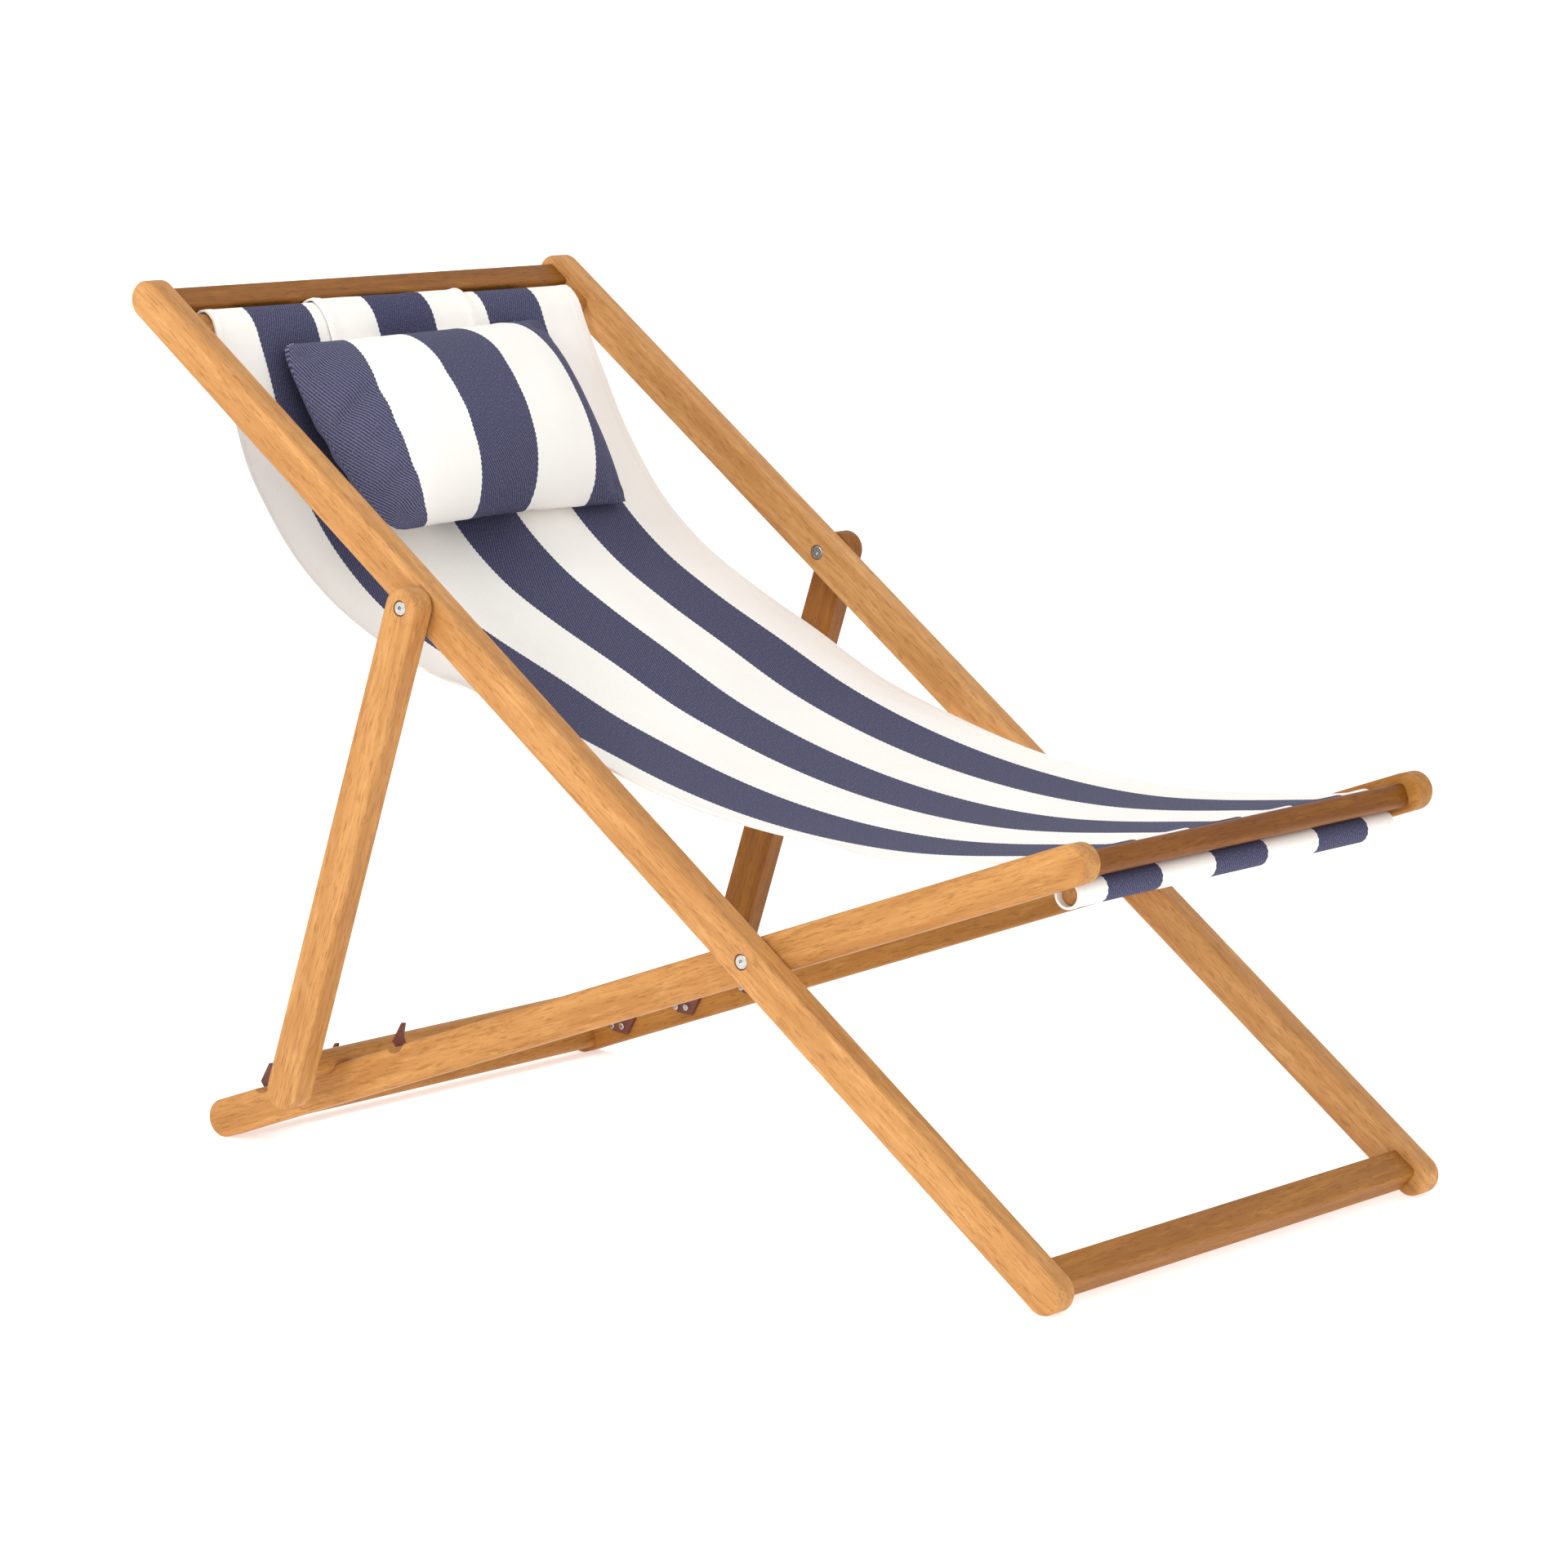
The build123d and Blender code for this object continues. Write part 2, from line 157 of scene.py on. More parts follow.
# ---- materials ----------------------------------------------------------------------------
class Graph:
    """Small helper for building node materials."""

    def __init__(self, name):
        self.material = bpy.data.materials.new(name)
        self.material.use_nodes = True
        self.nodes = self.material.node_tree.nodes
        self.links = self.material.node_tree.links
        self.shader = self.nodes["Principled BSDF"]

    def add(self, kind, **settings):
        node = self.nodes.new(kind)
        for key, value in settings.items():
            setattr(node, key, value)
        return node

    def feed(self, socket, value):
        if isinstance(value, bpy.types.NodeSocket):
            self.links.new(value, socket)
        else:
            socket.default_value = value

    def math(self, operation, *values):
        node = self.add("ShaderNodeMath", operation=operation)
        for socket, value in zip(node.inputs, values):
            self.feed(socket, value)
        return node.outputs[0]

    def scaled(self, vector, factors):
        node = self.add("ShaderNodeVectorMath", operation="MULTIPLY")
        self.feed(node.inputs[0], vector)
        node.inputs[1].default_value = factors
        return node.outputs[0]

    def noise(self, vector, scale, detail=2.0, roughness=0.5, distortion=0.0):
        node = self.add("ShaderNodeTexNoise")
        self.feed(node.inputs["Vector"], vector)
        node.inputs["Scale"].default_value = scale
        node.inputs["Detail"].default_value = detail
        node.inputs["Roughness"].default_value = roughness
        node.inputs["Distortion"].default_value = distortion
        return node.outputs["Fac"]

    def span(self, value, low, high, to_low=0.0, to_high=1.0):
        node = self.add("ShaderNodeMapRange")
        for socket, item in zip(node.inputs, (value, low, high, to_low, to_high)):
            self.feed(socket, item)
        return node.outputs[0]

    def mix(self, factor, first, second):
        node = self.add("ShaderNodeMix", data_type="RGBA")
        self.feed(node.inputs[0], factor)
        for socket, value in ((node.inputs[6], first), (node.inputs[7], second)):
            self.feed(socket, value if isinstance(value, bpy.types.NodeSocket) else (*value, 1))
        return node.outputs[2]

    def bump(self, height, distance, strength=1.0):
        node = self.add("ShaderNodeBump")
        self.feed(node.inputs["Height"], height)
        node.inputs["Distance"].default_value = distance
        node.inputs["Strength"].default_value = strength
        self.links.new(node.outputs[0], self.shader.inputs["Normal"])

    def finish(self, colour, roughness, **fixed):
        self.feed(self.shader.inputs["Base Color"], colour)
        self.feed(self.shader.inputs["Roughness"], roughness)
        for key, value in fixed.items():
            self.shader.inputs[key.replace("_", " ")].default_value = value
        return self.material


def teak(name, turn, seed, tone_and_shade):
    """Oiled teak with its grain along the piece; turn brings the piece's length onto Y, seed gives
    it a place of its own in the pattern, and the last argument darkens it, from 1 for the lightest
    piece; below 1 this darkening is partly the wood's own tone and partly painted shade."""
    graph = Graph(name)
    early_wood, late_wood = (0.62, 0.318, 0.112), (0.47, 0.215, 0.066)
    dark_ring, gold = (0.40, 0.175, 0.05), (0.76, 0.43, 0.18)
    streak, pore = (0.37, 0.16, 0.044), (0.29, 0.12, 0.034)
    place = graph.add("ShaderNodeTexCoord").outputs["Object"]
    turned = graph.add("ShaderNodeMapping")
    graph.feed(turned.inputs["Vector"], place)
    turned.inputs["Rotation"].default_value = turn
    turned.inputs["Location"].default_value = (seed * 1.37, seed * 2.11, seed * 0.73)
    wood = turned.outputs[0]
    figure = graph.noise(graph.scaled(wood, (34, 3.4, 34)), 1.0, 4.0, 0.6, 0.8)
    rings = graph.add("ShaderNodeTexWave", wave_type="BANDS", bands_direction="DIAGONAL")
    graph.feed(rings.inputs["Vector"], graph.scaled(wood, (1.0, 0.045, 0.8)))
    rings.inputs["Scale"].default_value = 30
    rings.inputs["Distortion"].default_value = 6.0
    rings.inputs["Detail"].default_value = 3.0
    rings.inputs["Detail Scale"].default_value = 1.6
    streaks = graph.noise(graph.scaled(wood, (330, 12, 330)), 1.0, 4.0, 0.62)
    pores = graph.noise(graph.scaled(wood, (640, 60, 640)), 1.0, 3.0, 0.65)
    glow = graph.noise(graph.scaled(wood, (150, 22, 150)), 1.0, 3.0, 0.55)

    def apply_tone_and_shade(colour):
        """Darken a colour by the tone, which is partly painted shade: green and blue fall faster
        than red, so darker pieces are also redder.
        """
        red, green, blue = colour
        return (red * tone_and_shade, green * tone_and_shade**1.4, blue * tone_and_shade**2.9)

    colour = graph.mix(graph.span(figure, 0.3, 0.7), apply_tone_and_shade(late_wood), apply_tone_and_shade(early_wood))
    ring_part = graph.span(rings.outputs["Fac"], 0.45, 0.95, 0.0, 0.42)
    colour = graph.mix(ring_part, colour, apply_tone_and_shade(dark_ring))
    colour = graph.mix(graph.span(glow, 0.55, 0.78, 0.0, 0.5), colour, apply_tone_and_shade(gold))
    colour = graph.mix(graph.span(streaks, 0.5, 0.72, 0.0, 0.5), colour, apply_tone_and_shade(streak))
    colour = graph.mix(graph.span(pores, 0.52, 0.66, 0.0, 0.65), colour, apply_tone_and_shade(pore))
    height = graph.math("ADD", graph.math("MULTIPLY", streaks, 0.6), pores)
    graph.bump(height, 0.0004, 0.4)
    roughness = graph.span(graph.math("ADD", figure, streaks), 0.6, 1.4, 0.44, 0.62)
    return graph.finish(colour, roughness, Specular_IOR_Level=0.2)


def stainless():
    graph = Graph("stainless")
    place = graph.add("ShaderNodeTexCoord").outputs["Object"]
    cloud = graph.noise(place, 320, 3.0)
    scratches = graph.noise(graph.scaled(place, (400, 4000, 1200)), 1.0, 2.0)
    colour = graph.mix(graph.span(cloud, 0.3, 0.7), (0.42, 0.405, 0.38), (0.58, 0.565, 0.54))
    graph.bump(scratches, 0.00006, 0.4)
    return graph.finish(colour, graph.span(scratches, 0.3, 0.7, 0.2, 0.38), Metallic=1.0)


def plastic(name, dark, light, bump):
    """Moulded plastic with a fine, even texture."""
    graph = Graph(name)
    place = graph.add("ShaderNodeTexCoord").outputs["Object"]
    cloud = graph.noise(place, 90, 3.0)
    grain = graph.noise(place, 2600, 2.0)
    colour = graph.mix(graph.span(cloud, 0.3, 0.7), dark, light)
    graph.bump(grain, 0.0001, bump)
    return graph.finish(colour, graph.span(grain, 0.3, 0.7, 0.42, 0.58), Specular_IOR_Level=0.4)


STRIPE = 0.08
NAVY_DARK = (0.026, 0.026, 0.068)
NAVY_LIGHT = (0.068, 0.068, 0.134)
NAVY_FLECK = (0.29, 0.29, 0.37)
CREAM = (0.90, 0.875, 0.835)
CREAM_SHADE = (0.86, 0.83, 0.785)
STITCH = (0.80, 0.77, 0.72)
SLING_HEM = 0.009
BAND_HEM = 0.006


def canvas(name, ribs, hem):
    """Woven canvas in navy and cream stripes. The flat layout is U across and V along, in metres.
    ribs is how much of the navy shows its twill, and hem is how far inside each edge a stitched
    line runs. Without a hem there is no line, and the outermost right-hand navy gets 1.7 times the
    pale twill, which there is painted sheen."""
    graph = Graph(name)
    flat = graph.add("ShaderNodeUVMap", uv_map="flat").outputs[0]
    split = graph.add("ShaderNodeSeparateXYZ")
    graph.feed(split.inputs[0], flat)
    across, along = split.outputs[0], split.outputs[1]
    teeth = graph.math("PINGPONG", graph.math("MULTIPLY", along, 420), 1.0)
    edge = graph.math("ADD", across, graph.math("MULTIPLY", teeth, 0.0009))
    repeat = graph.math("DIVIDE", graph.math("ADD", edge, STRIPE / 2), 2 * STRIPE)
    phase = graph.math("FRACT", graph.math("ADD", repeat, 8))
    navy = graph.math("LESS_THAN", phase, 0.5)
    fleck = graph.noise(graph.scaled(flat, (850, 520, 1)), 1.0, 2.0, 0.7)
    cloud = graph.noise(graph.scaled(flat, (9, 6, 1)), 1.0, 3.0)
    diagonal = graph.math("MULTIPLY", across, 330)
    diagonal = graph.math("ADD", diagonal, graph.math("MULTIPLY", along, 190))
    twill = graph.math("PINGPONG", diagonal, 0.5)
    dark = graph.mix(graph.span(fleck, 0.35, 0.65), NAVY_DARK, NAVY_LIGHT)
    dark = graph.mix(graph.span(fleck, 0.6, 0.78, 0.0, 0.75), dark, NAVY_FLECK)
    outermost = -1.5 * STRIPE
    twill_and_sheen = ribs
    # On the pillow the outermost right-hand navy gets 1.7 times the pale twill: painted sheen.
    if not hem:
        twill_and_sheen = graph.span(across, outermost - 0.002, outermost + 0.002, ribs * 1.7, ribs)
    rib = graph.math("MULTIPLY", graph.span(twill, 0.2, 0.5), twill_and_sheen)
    dark = graph.mix(rib, dark, NAVY_FLECK)
    pale = graph.mix(graph.span(cloud, 0.3, 0.75), CREAM_SHADE, CREAM)
    colour = graph.mix(navy, pale, dark)
    height = graph.math("ADD", graph.math("MULTIPLY", twill, 1.4), fleck)
    if hem:
        side = graph.add("ShaderNodeUVMap", uv_map="edge").outputs[0]
        parts = graph.add("ShaderNodeSeparateXYZ")
        graph.feed(parts.inputs[0], side)
        line = graph.math("COMPARE", parts.outputs[0], hem, 0.0005)
        dash = graph.math("LESS_THAN", graph.math("FRACT", graph.math("MULTIPLY", along, 260)), 0.68)
        stitch = graph.math("MULTIPLY", line, dash)
        colour = graph.mix(graph.math("MULTIPLY", stitch, 0.8), colour, STITCH)
        groove = graph.math("COMPARE", parts.outputs[0], hem, 0.0012)
        height = graph.math("SUBTRACT", height, graph.math("MULTIPLY", groove, 1.5))
    graph.bump(height, 0.00022, 0.55)
    roughness = graph.span(fleck, 0.3, 0.7, 0.8, 0.93)
    return graph.finish(
        colour, roughness, Specular_IOR_Level=0.1, Sheen_Weight=0.03, Sheen_Roughness=0.5
    )


def paint(node, material):
    """Give a CAD node its material."""
    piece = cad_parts[node]
    if not piece.material_slots:
        piece.data.materials.append(material)
    for place in piece.material_slots:
        place.material = material


def paint_frame():
    """Materials of the wood, metal and plastic nodes. Each wooden piece has its grain's direction
    and its tone. The tone follows how dark the piece looks in the photo, so it holds some shade."""
    along_back, along_seat = (-BACK_TILT, 0, 0), (SEAT_TILT, 0, 0)
    along_prop, along_x = (-PROP_TILT, 0, 0), (0, 0, math.pi / 2)
    # Tones below 1 are partly painted shade, most of all on prop_leg_left, head_rail, seat_front_rail
    # and front_stretcher.
    wood = (
        ("back_leg_left", along_back, 1.0), ("back_leg_right", along_back, 0.97),
        ("seat_rail_left", along_seat, 0.72), ("seat_rail_right", along_seat, 0.9),
        ("prop_leg_left", along_prop, 0.46), ("prop_leg_right", along_prop, 0.95),
        ("head_rail", along_x, 0.46), ("head_sling_rail", along_x, 0.8),
        ("front_stretcher", along_x, 0.64), ("head_sling_dowel", along_x, 0.9),
        ("seat_front_rail", along_x, 0.37), ("seat_sling_rail", along_x, 0.8),
        ("rear_stretcher", along_x, 0.8), ("front_sling_dowel", along_x, 0.95),
        ("prop_bar", along_x, 0.85),
    )
    for number, (node, turn, tone_and_shade) in enumerate(wood):
        paint(node, teak(f"teak_{node}", turn, number + 1, tone_and_shade))
    steel = stainless()
    brown = plastic("hook_plastic", (0.120, 0.032, 0.020), (0.165, 0.050, 0.033), 0.3)
    nylon = plastic("washer_nylon", (0.70, 0.69, 0.65), (0.78, 0.77, 0.74), 0.2)
    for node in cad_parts:
        if "washer" in node:
            paint(node, nylon)
        elif "bolt" in node or "nut" in node or "screws" in node:
            paint(node, steel)
        elif "hook" in node:
            paint(node, brown)


# ---- cloth strips -------------------------------------------------------------------------
def smooth_path(points, step):
    """Points a step apart along a smooth curve through the given ones."""
    places = [Vector(point) for point in points]
    ends = [places[0] * 2 - places[1], *places, places[-1] * 2 - places[-2]]
    fine = []
    for before, start, end, after in zip(ends, ends[1:], ends[2:], ends[3:]):
        count = max(2, round((end - start).length / step))
        for index in range(count):
            t = index / count
            fine.append(0.5 * (
                2 * start + (end - before) * t
                + (2 * before - 5 * start + 4 * end - after) * t * t
                + (3 * start - before - 3 * end + after) * t**3
            ))
    return fine + [places[-1]]


def ease(value, low, high):
    t = min(1.0, max(0.0, (value - low) / (high - low)))
    return t * t * (3 - 2 * t)


def strip(name, path, half_width, columns, thick, lift, drift=None, skew=None):
    """A closed strip of cloth along a (y, z) path. half_width(y, z) gives (right, left) edges in x,
    columns are shares from the right edge (0) to the left (1), thick(x, edge) its thickness and
    lift(x, v, edge) moves it out of its surface, drift(v) moves it sideways and skew(x, v) moves
    its stripes, v being the way along."""
    last = len(path) - 1
    run, length = [0.0], 0.0
    for start, end in zip(path, path[1:]):
        length += (end - start).length
        run.append(length)
    verts, flats, edges = [], [], []
    for side in (1, -1):
        for row, place in enumerate(path):
            ahead = path[min(row + 1, last)] - path[max(row - 1, 0)]
            out = Vector((ahead.y, -ahead.x)).normalized()
            right, left = half_width(*place)
            for share in columns:
                x = right + (left - right) * share
                margin = min(x - right, left - x)
                offset = side * thick(margin) / 2 + lift(x, run[row], margin)
                y, z = place + out * offset
                verts.append((x + (drift(run[row]) if drift else 0), y, z))
                flats.append((x - (skew(x, run[row]) if skew else 0), run[row]))
                edges.append((margin, run[row]))
    wide, count = len(columns), len(path)
    layer = wide * count
    faces = []
    for row in range(count - 1):
        for column in range(wide - 1):
            a = row * wide + column
            faces.append((a, a + 1, a + wide + 1, a + wide))
            faces.append((layer + a, layer + a + wide, layer + a + wide + 1, layer + a + 1))
        for a in (row * wide, row * wide + wide - 1):
            face = (a, a + wide, layer + a + wide, layer + a)
            faces.append(face if a % wide == 0 else face[::-1])
    for column in range(wide - 1):
        for a in (column, (count - 1) * wide + column):
            face = (a, layer + a, layer + a + 1, a + 1)
            faces.append(face if a < wide else face[::-1])
    mesh = bpy.data.meshes.new(name)
    mesh.from_pydata(verts, [], faces)
    for layer_name, values in (("flat", flats), ("edge", edges)):
        uv = mesh.uv_layers.new(name=layer_name)
        for loop in mesh.loops:
            uv.data[loop.index].uv = values[loop.vertex_index]
    mesh.shade_smooth()
    mesh.set_sharp_from_angle(angle=math.radians(50))
    piece = bpy.data.objects.new(name, mesh)
    scene.collection.objects.link(piece)
    return piece, length


def ring(centre, radius, start, stop, steps):
    """Places round a dowel, by angle in degrees from n towards s."""
    places = []
    for index in range(steps + 1):
        angle = math.radians(start + (stop - start) * index / steps)
        places.append((centre[0] + radius * math.sin(angle), centre[1] + radius * math.cos(angle)))
    return places


# The (s, n) centres of the two sling dowels, and the sleeves' mid-cloth radius round them.
HEAD_DOWEL = (1235.2, -28.2)
FRONT_DOWEL = (973.6, -21.3)
SLEEVE = 11.3
# The free canvas's middle line between the two rails, (y, z) in millimetres.
HANG = (
    (452, 722), (428, 675), (398, 620), (354, 562), (300, 517), (240, 483), (165, 447),
    (85, 409), (0, 380), (-90, 359), (-180, 347), (-265, 343.5), (-340, 348),
)
# The canvas beside the pillow sags more on the sitter's right, and its right edge curls up there
# and stands higher further forward, in metres.
NEAR_SAG = 0.027
EDGE_CURL = 0.010
EDGE_RISE = 0.013


def sling_line():
    """The canvas's middle line: round the head dowel, over the rail, down, and round the front
    dowel."""
    head = [(1236.0, -8.0), (1236.2, -13.0)]
    head += ring(HEAD_DOWEL, SLEEVE, 32, 328, 12)
    head += [(1234.2, -13.0), (1234.0, -6.0), (1234.2, 2.0)]
    head += [(1229.0, 10.2), (1216.0, 10.6), (1203.5, 6.0)]
    front = [(925.0, 17.2), (940.0, 13.9), (950.0, 12.3), (961.0, 12.1), (966.6, 11.2), (970.8, 7.5)]
    front += [(972.6, 1.0), (972.7, -6.0)]
    front += ring(FRONT_DOWEL, SLEEVE, -32, -328, 12)
    front += [(974.7, -6.0), (974.8, -1.0)]
    points = [back_point(*place) for place in head]
    points += [(y / 1000, z / 1000) for y, z in HANG]
    points += [seat_point(*place) for place in front]
    return smooth_path(points, 0.008)


def sling_edges(y, z):
    """Right and left edges: the canvas narrows to pass between the seat rails, and gathers a little
    at its right top corner."""
    half, flare, gather = 0.2425, 0.0165, 0.010
    wide = ease(y, -0.405, -0.29)
    return (-half - flare * wide + gather * ease(y, 0.445, 0.47), half + flare * wide)


def make_sling(material):
    """The hanging canvas. Its columns are closest at the hems, where its thickness changes."""
    inner = [0.0, 0.005, 0.012, 0.0175, 0.021, 0.03]
    middle = [0.03 + 0.94 * index / 40 for index in range(1, 40)]
    columns = inner + middle + [1 - share for share in reversed(inner)]

    def thick(margin):
        return 0.0012 + 0.0009 * (1 - ease(margin, SLING_HEM - 0.0005, SLING_HEM + 0.0012))

    def lift(x, v, margin):
        """Slow waves and a lively edge where it hangs free, the sag, and the right edge's shape."""
        free = ease(v, 0.2, 0.32) * (1 - ease(v, 0.98, 1.08))
        slow = noise.noise(Vector((x * 5, v * 3.2, 4.0))) * 0.0016
        edge = math.exp(-margin / 0.02) * noise.noise(Vector((x, v * 9, 1.0))) * 0.0016
        slack = ease(v, 0.13, 0.28) * (1 - ease(v, 0.38, 0.72))
        curl = EDGE_CURL * math.exp(-margin / 0.016) * ease(-x, 0.0, 0.1)
        rise = EDGE_RISE * math.exp(-margin / 0.022) * ease(-x, 0.0, 0.1)
        rise *= ease(v, 0.48, 0.62) * (1 - ease(v, 0.93, 1.08))
        return free * (slow + edge) + slack * (curl - NEAR_SAG * ease(-x, -0.08, 0.2)) + rise

    def drift(v):
        """It hangs a few millimetres off centre, one way at its ends and the other in the middle."""
        return 0.006 * math.sin(math.pi * min(1.0, v / 1.2)) - 0.003

    def skew(x, v):
        """Beside and below the pillow the stripes lie a few millimetres off, as in the photo."""
        return (0.06 - x) * 0.040 * ease(v, 0.12, 0.28) * (1 - ease(v, 0.48, 0.66))

    path = sling_line()
    piece, length = strip("canvas_sling", path, sling_edges, columns, thick, lift, drift, skew)
    piece.data.materials.append(material)
    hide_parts("sling")
    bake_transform(piece)


def make_flap(material):
    """The pillow's hanging band, over the rail and into the gap behind it."""
    places = [
        (1237.6, -14.0), (1237.6, -5.0), (1237.0, 4.2), (1230.6, 12.4), (1216.0, 12.7),
        (1203.5, 8.3), (1189.4, -0.4), (1176.0, -7.0), (1164.0, -13.0),
    ]
    path = smooth_path([back_point(*place) for place in places], 0.003)
    columns = [index / 44 for index in range(45)]

    def thick(margin):
        return 0.0009 + 0.0008 * (1 - ease(margin, BAND_HEM, BAND_HEM + 0.0015))

    def lift(x, v, margin):
        """A standing fold near each side, and faint waves, once the band is clear of the dowel."""
        ridge = math.exp(-(((x + 0.100) / 0.0055) ** 2)) * 0.0015
        pull = 0.0016 * math.exp(-(((x - 0.093) / 0.004) ** 2))
        wave = 0.0008 * noise.noise(Vector((x * 26, v * 12, 2.0)))
        return ease(v, 0.012, 0.03) * (ridge + pull + wave)

    def sides(y, z):
        return (-0.107, 0.099)

    piece, length = strip("pillow_band", path, sides, columns, thick, lift)
    piece.data.materials.append(material)
    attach(piece, "back_frame")
    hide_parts("pillow_flap")


# ---- pillow -------------------------------------------------------------------------------
PANEL_W, PANEL_H = 0.396, 0.224  # each flat panel, metres
HALF_W, HALF_H = 194, 107  # the filled pillow to its seam, millimetres
FRONT_CROWN, BACK_CROWN = 57, 42
CELLS = (84, 48)
# Creases that run in from the right-hand seam: where each starts along the seam, how fast it
# climbs as it runs in, how deep it is, and how wide. The depth is in millimetres, the rest in v.
CREASES = (
    (0.62, 0.55, 6.0, 0.055), (0.12, 0.85, 11.0, 0.050), (-0.22, 0.50, 6.5, 0.065),
    (-0.58, 0.40, 8.0, 0.055),
)


def filled(u, v, side):
    """A place on the filled pillow, mm in its own plane: across, up and out. u and v run -1 to 1."""
    # The sides pull in between the corners, and the corners are blunt.
    x = u * (HALF_W - 9 * (1 - v * v) * u * u)
    y = v * (HALF_H - 7 * (1 - u * u) * v * v)
    blunt = ease(abs(u), 0.9, 1.0) * ease(abs(v), 0.86, 1.0)
    x -= math.copysign(4 * blunt, u)
    y -= math.copysign(3 * blunt, v)
    # The crown, pinched near each corner.
    body = max(0.0, 1 - abs(u) ** 3.0) ** 0.58 * max(0.0, 1 - abs(v) ** 2.2) ** 0.64
    depth = (FRONT_CROWN if side > 0 else BACK_CROWN) * body
    from_corner = (0.90 - abs(u)) ** 2 + (0.86 - abs(v)) ** 2
    depth *= 1 - 0.45 * math.exp(-from_corner / 0.005)
    near = 1 + u
    for start, rise, deep, width in CREASES:
        off = (v - start - rise * near) / width
        depth -= deep * math.exp(-off * off) * ease(near, 0.0, 0.06) * (1 - ease(near, 0.12, 0.36))
    # Small gathers along the seams, and slow unevenness of the filling.
    for end in (-1, 1):
        gather = noise.noise(Vector((u * 13, end * 3.0, side * 2.0)))
        depth += 5.0 * gather * math.exp(-(1 - end * v) / 0.16) * body**0.5
        pull = noise.noise(Vector((end * 5.0, v * 9, side * 2.0)))
        depth += 3.6 * pull * math.exp(-(1 - end * u) / 0.1) * body**0.5
    depth += 2.4 * noise.noise(Vector((u * 3.1, v * 2.0, side * 4.0))) * body
    return x, y, side * depth


def pouch():
    """Two panels joined at their rims, in the pillow's own plane: (mesh, the rim's vertices in
    order). The flat layout follows each row's own length; its stripes are off centre and lean a
    little, as they do in the photo."""
    wide, high = CELLS
    inside_navy = -2.5 * STRIPE + 0.003
    places, flats, index_of = [], [], {}
    for side in (1, -1):
        for row in range(high + 1):
            v = math.sin((row / high - 0.5) * math.pi)
            line = [filled(math.sin((c / wide - 0.5) * math.pi), v, side) for c in range(wide + 1)]
            run = [0.0]
            for start, end in zip(line, line[1:]):
                run.append(run[-1] + math.dist(start, end))
            for column, place in enumerate(line):
                if side < 0 and (row in (0, high) or column in (0, wide)):
                    index_of[side, column, row] = index_of[1, column, row]
                    continue
                index_of[side, column, row] = len(places)
                places.append(place)
                across = (run[column] / run[-1] - 0.5) * PANEL_W
                across = 0.0127 - 0.008 * v + across * (0.90 + 0.05 * v - 0.5 * across)
                flats.append((max(inside_navy, across), v * PANEL_H / 2))
    faces = []
    for side in (1, -1):
        for row in range(high):
            for column in range(wide):
                corners = ((column, row), (column + 1, row), (column + 1, row + 1), (column, row + 1))
                face = [index_of[side, *corner] for corner in corners]
                faces.append(face if side > 0 else face[::-1])
    around = [(c, 0) for c in range(wide)] + [(wide, r) for r in range(high)]
    around += [(c, high) for c in range(wide, 0, -1)] + [(0, r) for r in range(high, 0, -1)]
    mesh = bpy.data.meshes.new("pillow_pouch")
    mesh.from_pydata(places, [], faces)
    uv = mesh.uv_layers.new(name="flat")
    for loop in mesh.loops:
        uv.data[loop.index].uv = flats[loop.vertex_index]
    return mesh, [index_of[1, *place] for place in around]


# The sling's front surface behind the pillow, as (s, n) on the back frame.
CANVAS_FRONT = (
    (1230, 12), (1216, 12), (1203.5, 7.5), (1189.4, -1.5), (1142.2, -25.0), (1085.4, -51.7),
    (1015.5, -72.0), (945.4, -76.0), (880, -72),
)


def canvas_height(s, x):
    """n of the sling's front surface at s along the back frame and x across."""
    slack = 1000 * NEAR_SAG * ease(-x, -0.08, 0.2) * ease(1203 - s, 0, 130)
    for (s0, n0), (s1, n1) in zip(CANVAS_FRONT, CANVAS_FRONT[1:]):
        if s1 <= s <= s0:
            return n0 + (n1 - n0) * (s0 - s) / (s0 - s1) - slack
    return CANVAS_FRONT[-1][1] - slack


def seat_pillow(places):
    """Carry the filled pillow to its place on the sling: each corner of its seam goes to its own
    (x, s, n), its right side settles into the canvas, and nothing goes below the canvas."""
    corners = {
        (-1, 1): (-193, 1179, 9), (1, 1): (189, 1194, 3),
        (-1, -1): (-191, 970, -35), (1, -1): (191, 1000, -66),
    }
    tilt = math.atan2(44, 206)
    clearance, settle = 1.2, 20
    seated = []
    for place in places:
        u, v = place.x / HALF_W, place.y / HALF_H
        x = s = n = 0.0
        for (cu, cv), (cx, cs, cn) in corners.items():
            share = (1 + cu * u) * (1 + cv * v) / 4
            x, s, n = x + share * cx, s + share * cs, n + share * cn
        sink = settle * max(0.0, 1 - v * v) * ((1 - u) / 2) ** 4
        s -= place.z * math.sin(tilt)
        n += place.z * math.cos(tilt) - sink
        n = max(n, canvas_height(s, x / 1000) + clearance + min(1.5, max(0.0, place.z * 0.2)))
        y, z = back_point(s, n)
        seated.append(Vector((x / 1000, y, z)))
    return seated


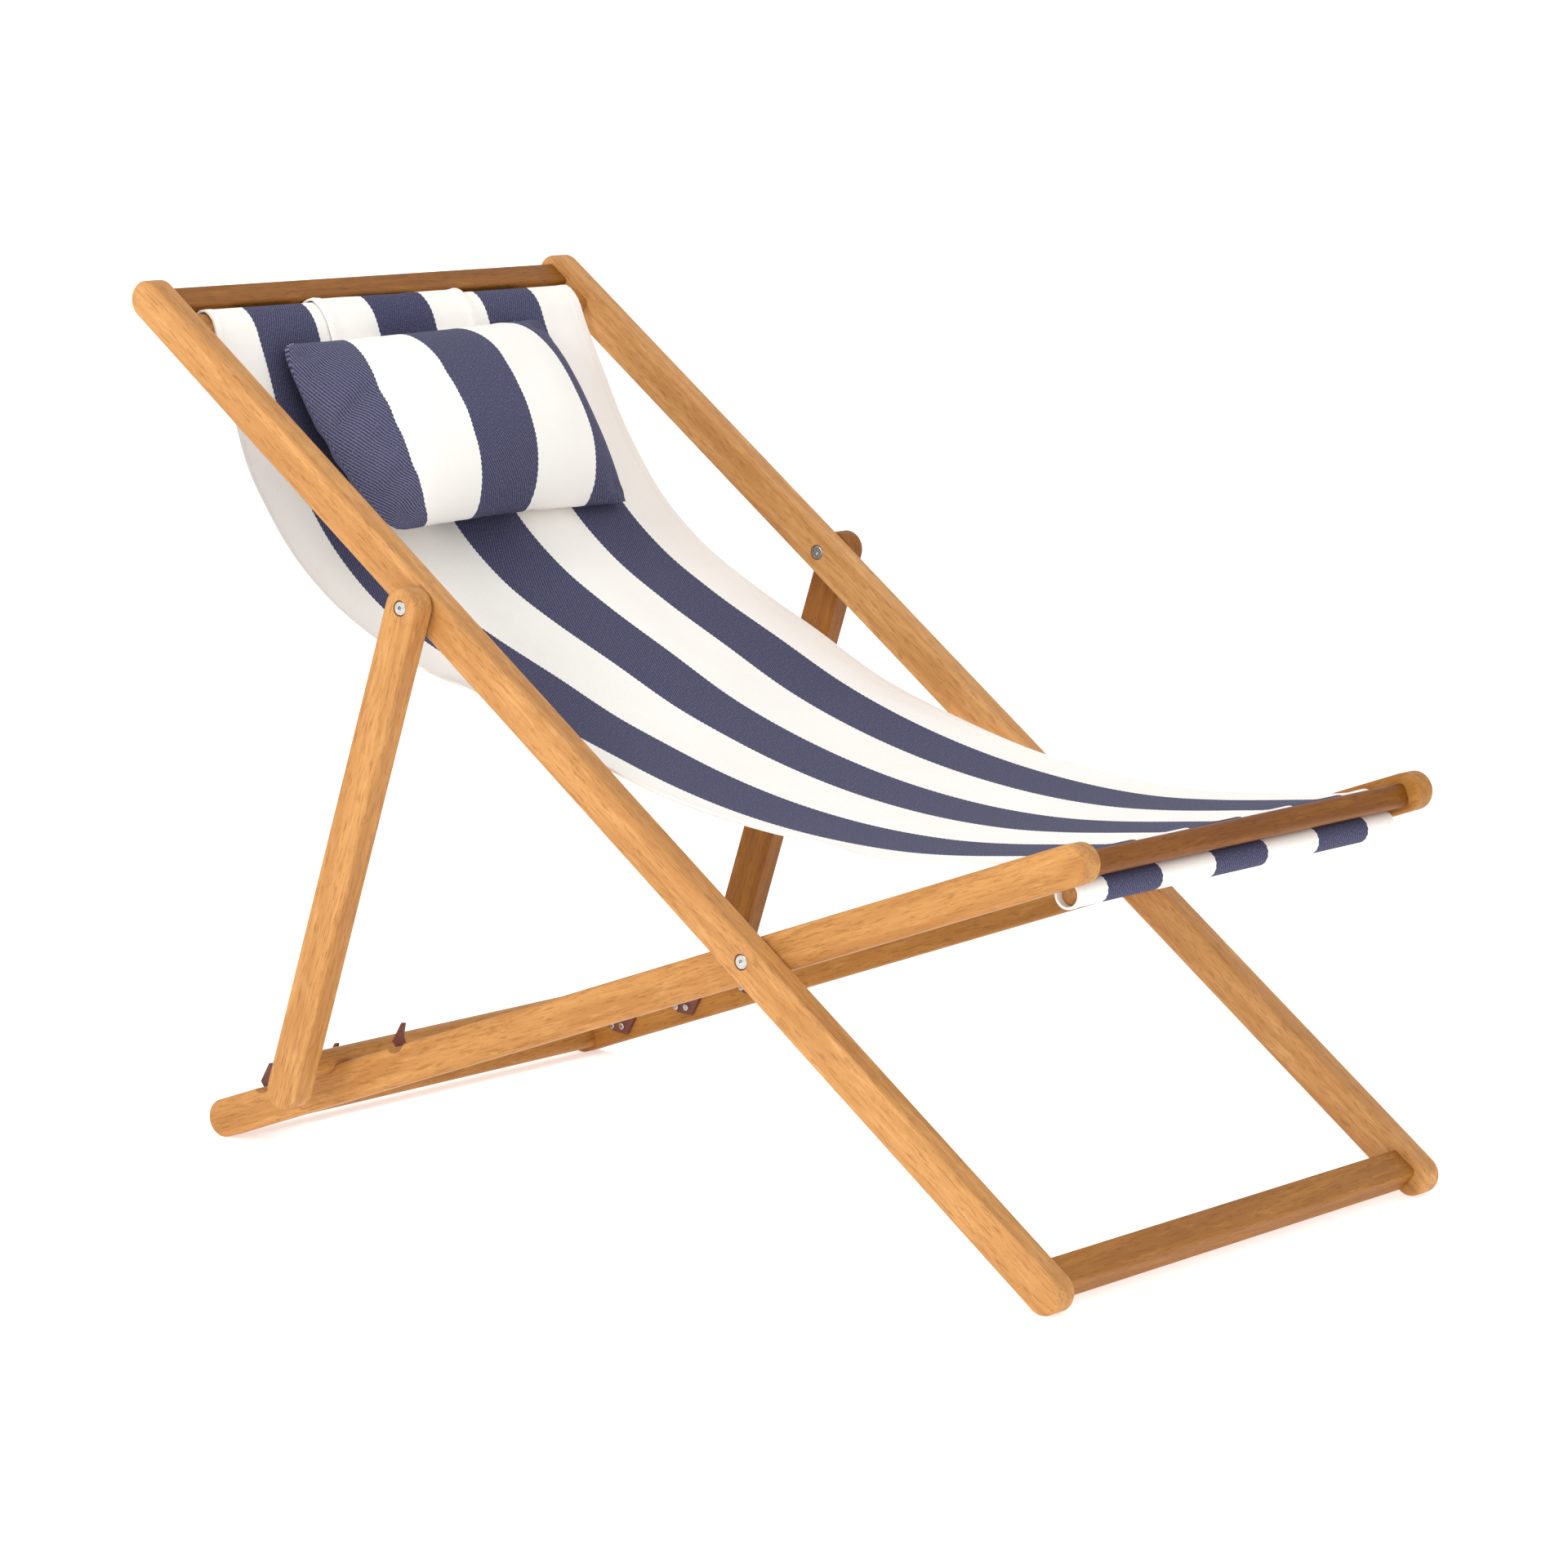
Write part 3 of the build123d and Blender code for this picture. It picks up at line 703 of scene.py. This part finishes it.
def make_pillow(material, thread):
    mesh, rim = pouch()
    seated = seat_pillow([vertex.co.copy() for vertex in mesh.vertices])
    for vertex, place in zip(mesh.vertices, seated):
        vertex.co = place
    mesh.shade_smooth()
    mesh.materials.append(material)
    pillow = bpy.data.objects.new("head_pillow", mesh)
    scene.collection.objects.link(pillow)
    smooth = pillow.modifiers.new("smooth", "SUBSURF")
    smooth.levels = smooth.render_levels = 1
    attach(pillow, "back_frame")
    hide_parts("pillow")
    # Stitches show on the top seam, beside the corner at the sitter's right.
    top_right = CELLS[0] * 2 + CELLS[1]
    shown = rim[top_right - 16:top_right - 4]
    make_stitches([mesh.vertices[index].co.copy() for index in shown], thread)


def make_stitches(line, thread):
    """Stitches along a seam: every fourth step starts one, and each is two steps long."""
    step, thick, tip = 0.0016, 0.0005, 0.0002
    verts, faces = [], []
    spaced = smooth_path(line, step)
    inward = Vector((0, -math.cos(BACK_TILT), -math.sin(BACK_TILT)))
    for index in range(0, len(spaced) - 3, 4):
        start, end = spaced[index], spaced[index + 2]
        along = (end - start).normalized()
        out = along.cross(inward).normalized()
        base = len(verts)
        swell, taper = start.lerp(end, 0.25), start.lerp(end, 0.75)
        for place, radius in ((start, tip), (swell, thick), (taper, thick), (end, tip)):
            for corner in range(6):
                angle = corner * math.pi / 3
                verts.append(place + radius * (math.cos(angle) * inward + math.sin(angle) * out))
        for lap in range(3):
            for corner in range(6):
                a, b = base + lap * 6 + corner, base + lap * 6 + (corner + 1) % 6
                faces.append((a, b, b + 6, a + 6))
        faces.append([base + corner for corner in reversed(range(6))])
        faces.append([base + 18 + corner for corner in range(6)])
    stitches = bpy.data.meshes.new("pillow_stitches")
    stitches.from_pydata(verts, [], faces)
    stitches.shade_smooth()
    stitches.materials.append(thread)
    piece = bpy.data.objects.new("pillow_stitches", stitches)
    scene.collection.objects.link(piece)
    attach(piece, "back_frame")


def cotton_thread():
    graph = Graph("thread")
    place = graph.add("ShaderNodeTexCoord").outputs["Object"]
    twist = graph.noise(place, 3000, 1.0)
    colour = graph.mix(twist, (0.74, 0.71, 0.66), (0.86, 0.84, 0.79))
    graph.bump(twist, 0.0001, 0.4)
    return graph.finish(colour, graph.span(twist, 0.0, 1.0, 0.7, 0.85), Sheen_Weight=0.1)


make_camera()
make_studio()
paint_frame()
make_sling(canvas("sling_canvas", ribs=0.25, hem=SLING_HEM))
make_flap(canvas("band_canvas", ribs=0.12, hem=BAND_HEM))
make_pillow(canvas("pillow_canvas", ribs=0.30, hem=0), cotton_thread())
